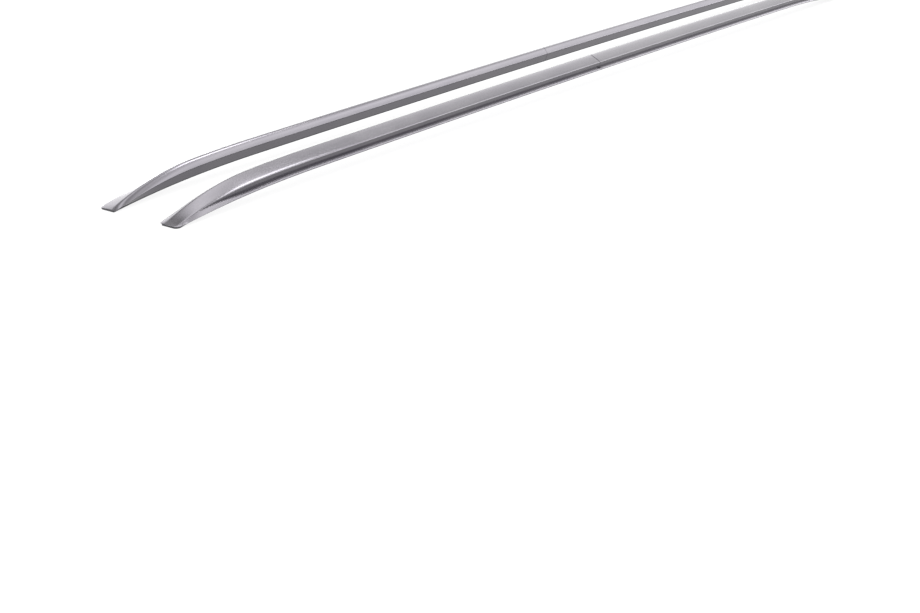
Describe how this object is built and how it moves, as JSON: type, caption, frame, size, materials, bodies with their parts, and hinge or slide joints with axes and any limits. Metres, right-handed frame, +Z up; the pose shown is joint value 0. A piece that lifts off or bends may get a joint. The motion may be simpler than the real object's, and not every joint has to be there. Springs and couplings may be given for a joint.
{
  "type": "roof side rail pair",
  "caption": "Pair of mirrored low-profile roof side rails in satin aluminium, with a crowned top, a crease, a grooved base lip and tapered ends that bolt to a roof from below.",
  "frame": {"origin": "on the floor, midway between the two rails at mid-length", "axes": "+X along the rails towards the front, +Y to the left rail, +Z up; the rails stand on the gaskets at their tips"},
  "size_m": [2.05, 0.1472, 0.0451],
  "materials": {
    "satin_aluminium": "bead-blasted and clear anodised, satin",
    "mill_aluminium": "mill-finish extruded bar",
    "cast_aluminium": "die cast, tumbled",
    "gasket_rubber": "extruded rubber, matt black",
    "zinc_steel": "zinc-plated steel"
  },
  "bodies": {
    "root": {"left_front_rail": "satin_aluminium", "left_front_pad": "gasket_rubber", "left_front_outer_strip": "gasket_rubber", "left_front_inner_strip": "gasket_rubber", "left_front_end_bracket": "cast_aluminium", "left_front_mid_bracket": "cast_aluminium", "left_rear_rail": "satin_aluminium", "left_rear_pad": "gasket_rubber", "left_rear_outer_strip": "gasket_rubber", "left_rear_inner_strip": "gasket_rubber", "left_rear_end_bracket": "cast_aluminium", "left_rear_mid_bracket": "cast_aluminium", "left_joiner": "mill_aluminium", "left_joiner_screws": "zinc_steel", "left_bracket_screws": "zinc_steel", "right_front_rail": "satin_aluminium", "right_front_pad": "gasket_rubber", "right_front_outer_strip": "gasket_rubber", "right_front_inner_strip": "gasket_rubber", "right_front_end_bracket": "cast_aluminium", "right_front_mid_bracket": "cast_aluminium", "right_rear_rail": "satin_aluminium", "right_rear_pad": "gasket_rubber", "right_rear_outer_strip": "gasket_rubber", "right_rear_inner_strip": "gasket_rubber", "right_rear_end_bracket": "cast_aluminium", "right_rear_mid_bracket": "cast_aluminium", "right_joiner": "mill_aluminium", "right_joiner_screws": "zinc_steel", "right_bracket_screws": "zinc_steel"}
  },
  "joints": []
}
